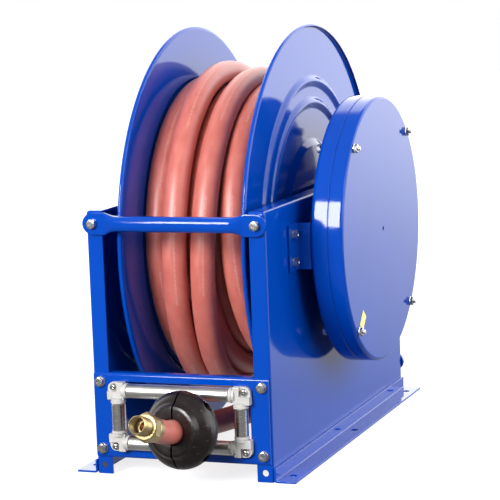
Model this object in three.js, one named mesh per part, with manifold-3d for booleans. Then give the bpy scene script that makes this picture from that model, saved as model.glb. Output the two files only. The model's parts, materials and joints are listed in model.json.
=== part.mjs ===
// A spring-driven fire hose reel: two folded side panels carry a drum of hose on a hollow axle, a round
// canister outside the right panel holds the rewind spring, and the hose leaves through a four-way roller
// guide in front.
// Millimetres. +Z is up, +X is to the right as seen from the guide, and the guide faces -Y.
// The drawing is laid out from the axle (y = 0) and the floor (z = 0); the last lines centre it front to
// back.
import * as THREE from 'three';
import { mergeVertices } from 'three/addons/utils/BufferGeometryUtils.js';
import Module from 'manifold-3d';

const wasm = await Module();
wasm.setup();

// ---------------------------------------------------------------- driving dimensions
const GAP = 0.3; // between pieces that touch
const SHEET = 3; // folded steel of the frame
const FRAME_WIDTH = 266;
const FRAME_DEPTH = 632;
const PANEL_HEIGHT = 376;
const FLANGE = 24;
const AXLE_HEIGHT = 312;
const BOLT_X = 121; // bolt columns in the front and rear flanges

const ANGLE_REACH = 31.4; // floor leg of a base angle, from the panel
const ANGLE_RISE = 20;
const ANGLE_HOLE_Y = [-282, 0, 282];
const ANGLE_HOLE_RADIUS = 5.5;

const DRUM_MIDDLE_X = 3;
const DRUM_HALF_WIDTH = 88.5; // between the discs' inner faces, halved
const DISC_SHEET = 2;
const DISC_RADIUS = 305;
const DISC_DISH = 6; // the middle of a disc stands this far outward
const CORE_RADIUS = 130;
const CORE_SHEET = 3;
const AXLE_RADIUS = 16;
const AXLE_BORE_RADIUS = 12;

const HOSE_RADIUS = 16.5;
const OUTER_LAYER_RADIUS = 251; // outside of the top layer of hose
const INNER_LAYER_RADIUS = 226; // outside of the layer below it

const CANISTER_BACK_X = 157.3;
const CANISTER_FACE_X = 204;
const CANISTER_RADIUS = 196.3;
const CANISTER_SEAM_X = 182;
const CANISTER_WALL = 2;
const BRACKET_BOLT_Y = -210;
const BRACKET_BOLT_Z = [AXLE_HEIGHT + 19, AXLE_HEIGHT - 20];
const BRACKET_WEB_Y = -193;
const CANISTER_BOLT_OFFSET = 132; // up, down, forward and back of the axle

const GUIDE_MIDDLE_Z = 86;
const GUIDE_HALF_WIDTH = 106.5;
const GUIDE_HALF_HEIGHT = 49.5;
const GUIDE_BLOCK = 25; // side of a corner block, square in front view
const GUIDE_DEPTH = 12;
const ROLLER_RADIUS = 10;
const ROLLER_X = 92;
const ROLLER_DROP = 37.5; // of the level rollers, up or down from the guide's middle

const SWIVEL_END_X = -211.6;
const BAR_RADIUS = 11;
const TOP_BAR_Z = 358;
const LOW_BAR_Z = 45;

// The riser that takes the water from the axle out to the first turn of hose, which it meets pointing
// rearwards.
const OUTLET_X = 62;
const OUTLET_RADIUS = 12;
const OUTLET_TURN = CORE_RADIUS + HOSE_RADIUS + 1; // radius of the first turn's middle
const OUTLET_REACH = 34;

const RATCHET_X = [108, 113];
const PAWL_LENGTH = 45;
const PAWL_TIP = { angle: 150, radius: 63.5, nose: 4 }; // degrees from the rear, round the axle
const HOLE_RADIUS = 4.6; // for the frame's bolts

const panelOuterX = FRAME_WIDTH / 2;
const panelInnerX = panelOuterX - SHEET;
const frontY = -FRAME_DEPTH / 2;
const plateFrontY = frontY - SHEET;
const guideFrontY = plateFrontY - GUIDE_DEPTH;
const rollerY = plateFrontY - GUIDE_DEPTH / 2;
const barY = -frontY + SHEET; // middle of a rear tie bar
const barFaceY = barY + SHEET;
const guideBoltZ = [GUIDE_MIDDLE_Z + 48, GUIDE_MIDDLE_Z - 48];
const screwX = GUIDE_HALF_WIDTH - 9;
const screwDrop = GUIDE_HALF_HEIGHT - 7;
const tipAngle = THREE.MathUtils.degToRad(PAWL_TIP.angle);
const pawlTip = new THREE.Vector2(Math.cos(tipAngle), Math.sin(tipAngle)).multiplyScalar(PAWL_TIP.radius);
const pawlPivot = new THREE.Vector2(
  pawlTip.x - PAWL_LENGTH * Math.sin(tipAngle), pawlTip.y + PAWL_LENGTH * Math.cos(tipAngle));
const SIDES = [[-1, 'left'], [1, 'right']];
const LEVELS = [[1, 'upper'], [-1, 'lower']];

// ---------------------------------------------------------------- materials
const paint = { color: 0x0046c8, roughness: 0.18, metalness: 0.1 };
const steel = { color: 0xb9b7b0, roughness: 0.3, metalness: 1 };
const zinc = { color: 0xc9c6bd, roughness: 0.35, metalness: 1 };
const nylon = { color: 0xe9e6dc, roughness: 0.55, metalness: 0 };
const hoseRubber = { color: 0xc4695c, roughness: 0.6, metalness: 0 };
const blackRubber = { color: 0x1d1b1c, roughness: 0.35, metalness: 0 };
const brass = { color: 0xc7a14e, roughness: 0.25, metalness: 1 };
const springSteel = { color: 0x5a5c60, roughness: 0.4, metalness: 1 };

// ---------------------------------------------------------------- shape tools
function solid(geometry) {
  const bare = geometry.clone();
  bare.deleteAttribute('normal');
  bare.deleteAttribute('uv');
  const merged = mergeVertices(bare, 1e-4);
  return new wasm.Manifold(new wasm.Mesh({
    numProp: 3,
    vertProperties: merged.attributes.position.array,
    triVerts: new Uint32Array(merged.index.array),
  }));
}

function geometryOf(body) {
  const { vertProperties, triVerts } = body.getMesh();
  const geometry = new THREE.BufferGeometry();
  geometry.setAttribute('position', new THREE.BufferAttribute(vertProperties, 3));
  geometry.setIndex(new THREE.BufferAttribute(triVerts, 1));
  const flat = geometry.toNonIndexed();
  flat.computeVertexNormals();
  return flat;
}

function block([x0, x1], [y0, y1], [z0, z1]) {
  const box = new THREE.BoxGeometry(x1 - x0, y1 - y0, z1 - z0);
  return solid(box.translate((x0 + x1) / 2, (y0 + y1) / 2, (z0 + z1) / 2));
}

// A cylinder along 'x', 'y' or 'z'; centre gives its place on the other two axes, in X, Y, Z order.
function rod(axis, radius, [from, to], [u, v], sides = 16) {
  const cylinder = new THREE.CylinderGeometry(radius, radius, to - from, sides);
  const middle = (from + to) / 2;
  if (axis === 'x') return solid(cylinder.rotateZ(-Math.PI / 2).translate(middle, u, v));
  if (axis === 'z') return solid(cylinder.rotateX(Math.PI / 2).translate(u, v, middle));
  return solid(cylinder.translate(u, middle, v));
}

// A solid of revolution about +X through the axle; the profile is a closed loop of [x, radius].
function turned(profile, segments = 48) {
  const points = profile.map(([x, radius]) => new THREE.Vector2(radius, x));
  if (THREE.ShapeUtils.area(points) < 0) points.reverse();
  const onAxis = points.filter((point) => point.x === 0).length === 2;
  if (!onAxis) points.push(points[0].clone());
  while (onAxis && (points[0].x !== 0 || points.at(-1).x !== 0)) points.push(points.shift());
  const lathe = new THREE.LatheGeometry(points, segments);
  return solid(lathe.rotateZ(-Math.PI / 2)).translate([0, 0, AXLE_HEIGHT]);
}

// A closed skin over rings of points that all hold the same number of points.
function loft(rings) {
  const count = rings[0].length;
  const index = [];
  rings.slice(1).forEach((ring, i) => ring.forEach((point, j) => {
    const [a, b] = [i * count + j, i * count + ((j + 1) % count)];
    index.push(a, b, a + count, b, b + count, a + count);
  }));
  const last = (rings.length - 1) * count;
  for (let j = 1; j < count - 1; j += 1) index.push(0, j + 1, j, last, last + j, last + j + 1);
  const geometry = new THREE.BufferGeometry().setFromPoints(rings.flat());
  geometry.setIndex(index);
  return solid(geometry);
}

// An outline drawn in front view (x, z), thick from yFront back to yBack.
function frontPlate(outline, yFront, yBack) {
  const depth = yBack - yFront;
  const plate = new THREE.ExtrudeGeometry(outline, { depth, bevelEnabled: false, curveSegments: 5 });
  return solid(plate.rotateX(Math.PI / 2).translate(0, yBack, 0));
}

// An outline drawn in side view (y, height from the axle), thick from x0 to x1.
function sidePlate(outline, x0, x1) {
  const plate = new THREE.ExtrudeGeometry(outline, { depth: x1 - x0, bevelEnabled: false, curveSegments: 8 });
  const turn = new THREE.Matrix4().makeBasis(
    new THREE.Vector3(0, 1, 0), new THREE.Vector3(0, 0, 1), new THREE.Vector3(1, 0, 0));
  return solid(plate.applyMatrix4(turn).translate(x0, 0, AXLE_HEIGHT));
}

function polygon(points) {
  return new THREE.Shape(points.map(([u, v]) => new THREE.Vector2(u, v)));
}

function tubeAlong(curve, radius, sides, steps) {
  const ring = Array.from({ length: sides }, (_, i) => {
    const angle = (2 * Math.PI * i) / sides;
    return new THREE.Vector2(radius * Math.cos(angle), radius * Math.sin(angle));
  });
  return solid(new THREE.ExtrudeGeometry(new THREE.Shape(ring), { extrudePath: curve, steps }));
}

// ---------------------------------------------------------------- the assembly and how pieces join it
const reel = new THREE.Group();

function add(name, body, look, place = {}) {
  const mesh = new THREE.Mesh(geometryOf(body), new THREE.MeshStandardMaterial(look));
  mesh.name = name;
  if (place.at) mesh.position.set(...place.at);
  if (place.turn) mesh.rotation.set(...place.turn);
  if (place.aim) mesh.quaternion.setFromUnitVectors(new THREE.Vector3(0, 0, 1), place.aim);
  reel.add(mesh);
}

const FACING_FRONT = [Math.PI / 2, 0, 0];
const FACING_REAR = [-Math.PI / 2, 0, 0];
const FACING_RIGHT = [0, Math.PI / 2, 0];

// A flange-head bolt with its nut, drawn with the head above z = 0 and the clamped pieces below it.
function boltAndNut(grip, acrossFlats = 12, radius = 4.2) {
  const hexRadius = acrossFlats / Math.sqrt(3);
  const headHeight = acrossFlats * 0.42;
  const flangeHeight = 1.4;
  const under = -grip - 2 * GAP;
  const nutHeight = acrossFlats * 0.5;
  const flange = rod('z', acrossFlats * 0.62, [0, flangeHeight], [0, 0], 10);
  const head = rod('z', hexRadius, [flangeHeight / 2, flangeHeight + headHeight], [0, 0], 6);
  const shank = rod('z', radius, [under - nutHeight - 2, flangeHeight / 2], [0, 0], 6);
  const nut = rod('z', hexRadius, [under - nutHeight, under], [0, 0], 6);
  return flange.add(head).add(shank).add(nut);
}

// ---------------------------------------------------------------- frame: side panels and base angles
function sidePanel(side) {
  const outer = panelOuterX;
  const span = (low, high) => (side > 0 ? [low, high] : [-high, -low]);
  let panel = block(span(outer - FLANGE, outer), [frontY, -frontY], [0, PANEL_HEIGHT]);
  const inside = span(outer - FLANGE - 1, outer - SHEET);
  panel = panel.subtract(block(inside, [frontY + SHEET, -frontY - SHEET], [-1, PANEL_HEIGHT - SHEET]));
  panel = panel.subtract(rod('x', 22, span(outer - 10, outer + 10), [0, AXLE_HEIGHT], 24));
  const boltHoles = [TOP_BAR_Z, ...guideBoltZ, 13];
  boltHoles.forEach((z) => {
    panel = panel.subtract(rod('y', HOLE_RADIUS, [frontY - 1, frontY + 10], [side * BOLT_X, z], 12));
  });
  [TOP_BAR_Z, LOW_BAR_Z].forEach((z) => {
    panel = panel.subtract(rod('y', HOLE_RADIUS, [-frontY - 10, -frontY + 1], [side * BOLT_X, z], 12));
  });
  panel = panel.subtract(rod('z', 3, [PANEL_HEIGHT - 10, PANEL_HEIGHT + 1], [side * BOLT_X, frontY + 26], 8));
  if (side > 0) {
    BRACKET_BOLT_Z.forEach((z) => {
      panel = panel.subtract(rod('x', HOLE_RADIUS, [outer - 10, outer + 1], [BRACKET_BOLT_Y, z], 12));
    });
    const pinPlace = [pawlPivot.x, AXLE_HEIGHT + pawlPivot.y];
    panel = panel.subtract(rod('x', 4.4, [outer - 10, outer + 1], pinPlace, 12));
  }
  return panel;
}

function baseAngle(side) {
  const span = (low, high) => (side > 0 ? [low, high] : [-high, -low]);
  let angle = block(span(panelOuterX, panelOuterX + ANGLE_REACH), [frontY, -frontY], [0, SHEET]);
  angle = angle.add(block(span(panelOuterX, panelOuterX + SHEET), [frontY, -frontY], [0, ANGLE_RISE]));
  ANGLE_HOLE_Y.forEach((y) => {
    const x = side * (panelOuterX + ANGLE_REACH * 0.53);
    angle = angle.subtract(rod('z', ANGLE_HOLE_RADIUS, [-1, SHEET + 1], [x, y], 14));
  });
  return angle;
}

// ---------------------------------------------------------------- frame: tie bars with flattened ends
function tieBar(z, side) {
  const middleY = side * barY;
  const endX = panelOuterX + 3;
  const flatHalf = 15.5;
  const flatThick = 3;
  const roundX = endX - flatHalf;
  const flatX = roundX - 14;
  const tubeX = flatX - 20;
  const halfSections = [
    [tubeX, BAR_RADIUS, BAR_RADIUS], [tubeX + 10, 13.2, 7], [flatX, flatHalf, flatThick],
  ];
  [0, 35, 60, 80].forEach((degrees) => {
    const angle = THREE.MathUtils.degToRad(degrees);
    halfSections.push([roundX + flatHalf * Math.sin(angle), flatHalf * Math.cos(angle), flatThick]);
  });
  const sections = [...halfSections.map(([x, tall, deep]) => [-x, tall, deep]).reverse(), ...halfSections];
  const ring = ([x, tall, deep]) => Array.from({ length: 12 }, (_, i) => {
    const angle = (2 * Math.PI * i) / 12;
    const flatness = deep === flatThick ? 0.12 : 1;
    const depth = Math.sign(Math.cos(angle)) * Math.abs(Math.cos(angle)) ** flatness;
    return new THREE.Vector3(x, middleY + deep * depth, z + tall * Math.sin(angle));
  });
  let bar = loft(sections.map(ring));
  [-BOLT_X, BOLT_X].forEach((x) => {
    bar = bar.subtract(rod('y', HOLE_RADIUS, [middleY - 20, middleY + 20], [x, z], 12));
  });
  return bar;
}

// ---------------------------------------------------------------- roller guide
function guidePlate() {
  const edgeX = panelOuterX - 2;
  const [top, bottom] = [147, 24.5];
  const windowX = 103.5;
  const windowTop = GUIDE_MIDDLE_Z + 49;
  const windowBottom = GUIDE_MIDDLE_Z - 50;
  const tab = 14;
  const outline = polygon([[-edgeX, bottom], [edgeX, bottom], [edgeX, top], [-edgeX, top]]);
  outline.holes.push(polygon([
    [-windowX + tab, windowBottom], [windowX - tab, windowBottom], [windowX - tab, windowBottom + tab],
    [windowX, windowBottom + tab], [windowX, windowTop - tab], [windowX - tab, windowTop - tab],
    [windowX - tab, windowTop], [-windowX + tab, windowTop], [-windowX + tab, windowTop - tab],
    [-windowX, windowTop - tab], [-windowX, windowBottom + tab], [-windowX + tab, windowBottom + tab],
  ]));
  let plate = frontPlate(outline, plateFrontY, frontY);
  const lip = [-panelOuterX + FLANGE + 3, panelOuterX - FLANGE - 3];
  plate = plate.add(block(lip, [frontY - 1, frontY + 12], [top - SHEET, top]));
  plate = plate.add(block(lip, [frontY - 1, frontY + 12], [bottom, bottom + SHEET]));
  [-BOLT_X, BOLT_X].forEach((x) => guideBoltZ.forEach((z) => {
    plate = plate.subtract(rod('y', HOLE_RADIUS, [plateFrontY - 1, frontY + 1], [x, z], 12));
  }));
  [-1, 1].forEach((sx) => [-1, 1].forEach((sz) => {
    const place = [sx * screwX, GUIDE_MIDDLE_Z + sz * screwDrop];
    plate = plate.subtract(rod('y', 2.8, [plateFrontY - 1, frontY + 1], place, 10));
  }));
  return plate;
}

// A corner block, drawn for the upper right corner and mirrored to the others by sx and sz.
function guideBlock(sx, sz) {
  const inX = GUIDE_HALF_WIDTH - GUIDE_BLOCK;
  const inZ = GUIDE_HALF_HEIGHT - GUIDE_BLOCK;
  const round = 9;
  const outline = new THREE.Shape();
  outline.moveTo(inX, inZ);
  outline.lineTo(GUIDE_HALF_WIDTH, inZ);
  outline.lineTo(GUIDE_HALF_WIDTH, GUIDE_HALF_HEIGHT - round);
  outline.absarc(GUIDE_HALF_WIDTH - round, GUIDE_HALF_HEIGHT - round, round, 0, Math.PI / 2);
  outline.lineTo(inX, GUIDE_HALF_HEIGHT);
  outline.closePath();
  const collar = 5;
  const journal = 6.5;
  let corner = frontPlate(outline, guideFrontY, plateFrontY - GAP);
  corner = corner.add(rod('x', 10.6, [inX - collar, inX + 1], [rollerY, ROLLER_DROP], 14));
  corner = corner.add(rod('z', 10.6, [inZ - collar, inZ + 1], [ROLLER_X, rollerY], 14));
  corner = corner.subtract(rod('x', 4.3, [inX - collar - 1, inX + journal], [rollerY, ROLLER_DROP], 10));
  corner = corner.subtract(rod('z', 4.3, [inZ - collar - 1, inZ + journal], [ROLLER_X, rollerY], 10));
  corner = corner.subtract(rod('y', 2.8, [guideFrontY - 1, plateFrontY + 1], [screwX, screwDrop], 8));
  corner = corner.subtract(
    block([screwX - 6, screwX + 12], [guideFrontY - 1, guideFrontY + 5], [screwDrop - 6, screwDrop + 10]));
  return corner.scale([sx, 1, sz]).translate([0, 0, GUIDE_MIDDLE_Z]);
}

// A roller with a journal at each end, drawn level and centred, or upright for the side rollers.
function roller(axis, halfLength, place) {
  const journal = 10.5;
  const body = rod(axis, ROLLER_RADIUS, [-halfLength, halfLength], [0, 0], 20);
  return body.add(rod(axis, 4, [-halfLength - journal, halfLength + journal], [0, 0], 10)).translate(place);
}

// A cap screw that holds a corner block to the plate, head above z = 0.
function blockScrew() {
  const head = rod('z', 5, [0, 4], [0, 0], 6);
  const shank = rod('z', 2.4, [-GUIDE_DEPTH - 3, 1], [0, 0], 8);
  return head.add(shank);
}

// ---------------------------------------------------------------- drum
// A pressed disc, drawn as [outward from the disc's inner face, radius] and thickened outward.
function disc(side) {
  const out = (x) => DRUM_MIDDLE_X + side * (DRUM_HALF_WIDTH + x);
  const rib = 5;
  const dish = DISC_DISH;
  const face = [
    [dish, AXLE_RADIUS + GAP], [dish, 125], [0, 134], [0, 180], [rib, 188], [0, 196], [0, 212], [rib, 220],
    [0, 228], [0, DISC_RADIUS - 4], [3, DISC_RADIUS], [7, DISC_RADIUS - 1],
  ];
  const back = [
    [6.5, DISC_RADIUS - 3], [3.6, DISC_RADIUS - 2.4], [DISC_SHEET, DISC_RADIUS - 5], [DISC_SHEET, 228.6],
    [rib + DISC_SHEET, 220], [DISC_SHEET, 211.4], [DISC_SHEET, 196.6], [rib + DISC_SHEET, 188],
    [DISC_SHEET, 179.4], [DISC_SHEET, 134.6], [dish + DISC_SHEET, 125.6],
    [dish + DISC_SHEET, AXLE_RADIUS + GAP],
  ];
  return turned([...face, ...back].map(([x, radius]) => [out(x), radius]), 32);
}

function hub(side) {
  const out = (x) => DRUM_MIDDLE_X + side * (DRUM_HALF_WIDTH + DISC_DISH + DISC_SHEET + x);
  return turned([
    [out(GAP), AXLE_RADIUS + GAP], [out(GAP), 42], [out(4), 42], [out(4), 24], [out(8), 24],
    [out(8), AXLE_RADIUS + GAP],
  ], 20);
}

function drumCore() {
  const half = DRUM_HALF_WIDTH - GAP;
  const [low, high] = [DRUM_MIDDLE_X - half, DRUM_MIDDLE_X + half];
  const inner = CORE_RADIUS - CORE_SHEET;
  const core = turned([[low, inner], [high, inner], [high, CORE_RADIUS], [low, CORE_RADIUS]], 36);
  const port = rod('z', OUTLET_RADIUS + 2, [AXLE_HEIGHT + 100, AXLE_HEIGHT + 150], [OUTLET_X, 0], 16);
  return core.subtract(port);
}

function axle() {
  const [left, right] = [-170, 199];
  const blind = OUTLET_X + 20;
  const shaft = turned([
    [left, AXLE_BORE_RADIUS], [blind, AXLE_BORE_RADIUS], [blind, 0], [right, 0], [right, AXLE_RADIUS],
    [left, AXLE_RADIUS],
  ], 24);
  return shaft.subtract(rod('z', 8, [AXLE_HEIGHT, AXLE_HEIGHT + 30], [OUTLET_X, 0], 12));
}

function outletElbow() {
  const low = AXLE_HEIGHT + AXLE_RADIUS + GAP;
  const corner = AXLE_HEIGHT + OUTLET_TURN;
  const knee = solid(new THREE.SphereGeometry(OUTLET_RADIUS, 12, 8).translate(OUTLET_X, 0, corner));
  const outside = rod('z', OUTLET_RADIUS, [low, corner], [OUTLET_X, 0], 16).add(knee)
    .add(rod('y', OUTLET_RADIUS, [0, OUTLET_REACH], [OUTLET_X, corner], 16));
  return outside.subtract(rod('z', 8, [low - 1, corner], [OUTLET_X, 0], 12))
    .subtract(rod('y', 8, [-6, OUTLET_REACH + 1], [OUTLET_X, corner], 12));
}

// ---------------------------------------------------------------- hose
function hoseWinding() {
  const half = DRUM_HALF_WIDTH - 2 * GAP;
  const [low, high] = [DRUM_MIDDLE_X - half, DRUM_MIDDLE_X + half];
  const inner = CORE_RADIUS + 2 * GAP;
  const stepX = -55;
  const ring = turned([
    [low, inner], [high, inner], [high, OUTER_LAYER_RADIUS], [stepX, OUTER_LAYER_RADIUS],
    [stepX, INNER_LAYER_RADIUS], [low, INNER_LAYER_RADIUS],
  ], 36);
  const middle = AXLE_HEIGHT + OUTLET_TURN;
  const elbowRoom = [middle - 30, middle + 14];
  return ring.subtract(block([OUTLET_X - 16, high + 1], [-16, OUTLET_REACH + GAP], elbowRoom));
}

// The stretch that isn't wound: off the bottom of the winding, between the rollers, through the ball and up.
const BALL_MIDDLE = new THREE.Vector3(24, -377, 83.8);
const BALL_AIM = new THREE.Vector3(-0.12, -1, 0.12).normalize();
const FITTING_AIM = new THREE.Vector3(-0.076, -0.935, 0.344).normalize();
const FITTING_START = new THREE.Vector3(16.7, -454.6, 101.8);
const RUN_POINTS = [
  [56, -95, 62.4], [50, -150, 64.6], [44.6, -200, 67.2], [38.8, -250, 70.7], [31.9, -310, 76.1],
  [27.4, -349, 80.4], [24, -377, 83.8], [21.2, -400, 86.6], [19.5, -417, 89.3], [18.4, -434, 94.2],
];

function hoseRun() {
  const points = RUN_POINTS.map((point) => new THREE.Vector3(...point));
  points.push(FITTING_START.clone().addScaledVector(FITTING_AIM, -8), FITTING_START.clone());
  return tubeAlong(new THREE.CatmullRomCurve3(points, false, 'centripetal'), HOSE_RADIUS, 10, 22);
}

// Half of the ball stop, drawn along its own z axis: a flattened rubber ball with a shoulder and a bore for
// the hose.
function ballHalf(side) {
  const [radius, halfThick, bore] = [54, 28, HOSE_RADIUS + 1.2];
  const rim = [];
  for (let step = 0; step <= 12; step += 1) {
    const angle = -Math.PI / 2 + (Math.PI * step) / 12;
    rim.push(new THREE.Vector2(radius * Math.cos(angle) ** 0.8, halfThick * Math.sin(angle)));
  }
  const outer = rim.filter((point) => point.x > bore + 2);
  const points = [
    new THREE.Vector2(bore, outer[0].y), ...outer, new THREE.Vector2(bore, outer.at(-1).y),
    new THREE.Vector2(bore, outer[0].y),
  ];
  const ball = solid(new THREE.LatheGeometry(points, 24));
  const along = ball.rotate([90, 0, 0]);
  return along.subtract(block(side > 0 ? [-80, 0.4] : [-0.4, 80], [-80, 80], [-80, 80]));
}

// A brass male hose end: crimped ferrule, hexagon and threaded nose, drawn along its own z axis.
function hoseFitting() {
  const profile = [
    [6.5, 0], [16.6, 0], [17.2, 1], [17.2, 11], [16, 13], [16, 28], [12.9, 28], [12.9, 30], [13.3, 31],
    [12.8, 49], [12, 50], [11, 50], [11, 34], [6.5, 33], [6.5, 0],
  ].map(([radius, z]) => new THREE.Vector2(radius, z));
  const body = solid(new THREE.LatheGeometry(profile, 20)).rotate([90, 0, 0]);
  const hexagon = rod('z', 20.8, [13, 27], [0, 0], 6).subtract(rod('z', 12, [10, 50], [0, 0], 16));
  return body.add(hexagon);
}

// ---------------------------------------------------------------- rewind spring and its canister
const boltOffsets = [
  [-1, 1, 'front_upper'], [1, 1, 'rear_upper'], [-1, -1, 'front_lower'], [1, -1, 'rear_lower'],
];
function drillCanister(shell) {
  let drilled = shell;
  boltOffsets.forEach(([sy, sz]) => {
    const place = [sy * CANISTER_BOLT_OFFSET, AXLE_HEIGHT + sz * CANISTER_BOLT_OFFSET];
    drilled = drilled.subtract(rod('x', 4.4, [CANISTER_BACK_X - 5, CANISTER_FACE_X + 5], place, 10));
  });
  return drilled;
}

function canisterPan() {
  const back = CANISTER_BACK_X;
  const outer = CANISTER_RADIUS - CANISTER_WALL - GAP;
  const lip = CANISTER_FACE_X - 14;
  return turned([
    [back, 21], [back, outer - 3], [back + 3, outer], [lip, outer], [lip, outer - CANISTER_WALL],
    [back + 4, outer - CANISTER_WALL], [back + CANISTER_WALL, outer - 4], [back + CANISTER_WALL, 21],
  ], 36);
}

function canisterCover() {
  const face = CANISTER_FACE_X;
  const outer = CANISTER_RADIUS;
  const inner = outer - CANISTER_WALL;
  return turned([
    [face, 3.3], [face, outer - 4], [face - 4, outer], [CANISTER_SEAM_X, outer], [CANISTER_SEAM_X, inner],
    [face - 5, inner], [face - CANISTER_WALL, inner - 3], [face - CANISTER_WALL, 3.3],
  ], 36);
}

function canisterBracket() {
  const high = [AXLE_HEIGHT - 33, AXLE_HEIGHT + 33];
  const nearX = panelOuterX;
  const panBack = CANISTER_BACK_X - GAP;
  const web = [BRACKET_WEB_Y, BRACKET_WEB_Y + SHEET];
  let bracket = block([nearX, nearX + SHEET], [BRACKET_BOLT_Y - 17, web[1]], high);
  bracket = bracket.add(block([nearX, panBack], web, high));
  bracket = bracket.add(block([panBack - SHEET, panBack], [web[0], web[1] + 25], high));
  BRACKET_BOLT_Z.forEach((z) => {
    bracket = bracket.subtract(rod('x', HOLE_RADIUS, [nearX - 1, nearX + 8], [BRACKET_BOLT_Y, z], 12));
  });
  return bracket;
}

// A flat spiral strip, from the arbor out to the canister's wall.
function powerSpring() {
  const [inner, outer, turns, strip] = [34, 172, 5, 1.6];
  const steps = 18 * turns;
  const spiral = (offset) => Array.from({ length: steps + 1 }, (_, i) => {
    const radius = inner + ((outer - inner) * i) / steps + offset;
    const angle = (2 * Math.PI * turns * i) / steps;
    return new THREE.Vector2(radius * Math.cos(angle), radius * Math.sin(angle));
  });
  const outline = new THREE.Shape([...spiral(strip), ...spiral(0).reverse()]);
  return sidePlate(outline, CANISTER_BACK_X + 8, CANISTER_FACE_X - 8);
}

function springArbor() {
  const [low, high] = [CANISTER_BACK_X + 7, CANISTER_FACE_X - 7];
  return turned([[low, AXLE_RADIUS + GAP], [high, AXLE_RADIUS + GAP], [high, 28], [low, 28]], 24);
}

// ---------------------------------------------------------------- bearings, ratchet and inlet
function bearing(side) {
  const out = (x) => side * (panelOuterX + x);
  return turned([
    [out(-12), AXLE_RADIUS + GAP], [out(-12), 21.5], [out(0), 21.5], [out(0), 40], [out(5), 40], [out(7), 26],
    [out(15), 24], [out(15), AXLE_RADIUS + GAP],
  ], 20);
}

function ratchetWheel() {
  const [teeth, outer, root] = [6, 58, 50];
  const at = (degrees, radius) => {
    const angle = THREE.MathUtils.degToRad(degrees);
    return [radius * Math.cos(angle), radius * Math.sin(angle)];
  };
  const points = [];
  for (let tooth = 0; tooth < teeth; tooth += 1) {
    const start = PAWL_TIP.angle + (360 / teeth) * tooth;
    points.push(at(start - 8, outer), at(start - 7, root), at(start, root), at(start + 7, root));
    points.push(at(start + 34, outer), at(start + 43, outer));
  }
  const wheel = sidePlate(polygon(points), ...RATCHET_X);
  const through = [RATCHET_X[0] - 1, RATCHET_X[1] + 1];
  return wheel.subtract(rod('x', AXLE_RADIUS + GAP, through, [0, AXLE_HEIGHT], 24));
}

function pawl() {
  const arm = new THREE.Vector2().subVectors(pawlTip, pawlPivot);
  const start = arm.angle() + Math.PI / 2;
  const outline = new THREE.Shape();
  outline.absarc(pawlPivot.x, pawlPivot.y, 9, start, start + Math.PI, false);
  outline.absarc(pawlTip.x, pawlTip.y, PAWL_TIP.nose, start + Math.PI, start + 2 * Math.PI, false);
  outline.closePath();
  const place = [pawlPivot.x, AXLE_HEIGHT + pawlPivot.y];
  const through = [RATCHET_X[0] - 1, RATCHET_X[1] + 1];
  return sidePlate(outline, ...RATCHET_X).subtract(rod('x', 5.3, through, place, 14));
}

function pawlPin() {
  const place = [pawlPivot.x, AXLE_HEIGHT + pawlPivot.y];
  return rod('x', 8, [RATCHET_X[0] - 4, RATCHET_X[0] - GAP], place, 12)
    .add(rod('x', 5, [RATCHET_X[0] - 1, RATCHET_X[1] + 1], place, 12))
    .add(rod('x', 8, [RATCHET_X[1] + GAP, panelInnerX - GAP], place, 12))
    .add(rod('x', 4, [panelInnerX - 1, panelOuterX + 8], place, 12))
    .add(rod('x', 7.5, [panelOuterX + GAP, panelOuterX + 6], place, 6));
}

function inletSwivel() {
  const legX = SWIVEL_END_X + 21;
  const legEnd = AXLE_HEIGHT - 66;
  const housing = rod('x', 25, [legX, -151], [0, AXLE_HEIGHT], 18);
  const knee = solid(new THREE.SphereGeometry(21, 14, 8).translate(legX, 0, AXLE_HEIGHT));
  const leg = rod('z', 19, [legEnd, AXLE_HEIGHT], [legX, 0], 16);
  const hexagon = rod('z', 24, [legEnd + 2, legEnd + 18], [legX, 0], 6);
  return housing.add(knee).add(leg).add(hexagon)
    .subtract(rod('x', AXLE_RADIUS + GAP, [-171, -150], [0, AXLE_HEIGHT], 24))
    .subtract(rod('x', AXLE_BORE_RADIUS, [legX - 3, -165], [0, AXLE_HEIGHT], 16))
    .subtract(rod('z', AXLE_BORE_RADIUS, [legEnd - 1, AXLE_HEIGHT], [legX, 0], 16));
}

// ---------------------------------------------------------------- assembly
SIDES.forEach(([side, name]) => {
  add(`${name}_side_panel`, sidePanel(side), paint);
  add(`${name}_base_angle`, baseAngle(side), paint);
  add(`${name}_bearing`, bearing(side), zinc);
  add(`${name}_drum_disc`, disc(side), paint);
  add(`${name}_hub_flange`, hub(side), zinc);
});

[
  ['front_tie_bar', TOP_BAR_Z, -1],
  ['rear_upper_tie_bar', TOP_BAR_Z, 1],
  ['rear_lower_tie_bar', LOW_BAR_Z, 1],
].forEach(([barName, z, end]) => {
  add(barName, tieBar(z, end), paint);
  SIDES.forEach(([side, name]) => {
    const turn = end < 0 ? FACING_FRONT : FACING_REAR;
    const place = { at: [side * BOLT_X, end * (barFaceY + GAP), z], turn };
    add(`${barName}_${name}_bolt`, boltAndNut(3 * SHEET), zinc, place);
  });
});

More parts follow.
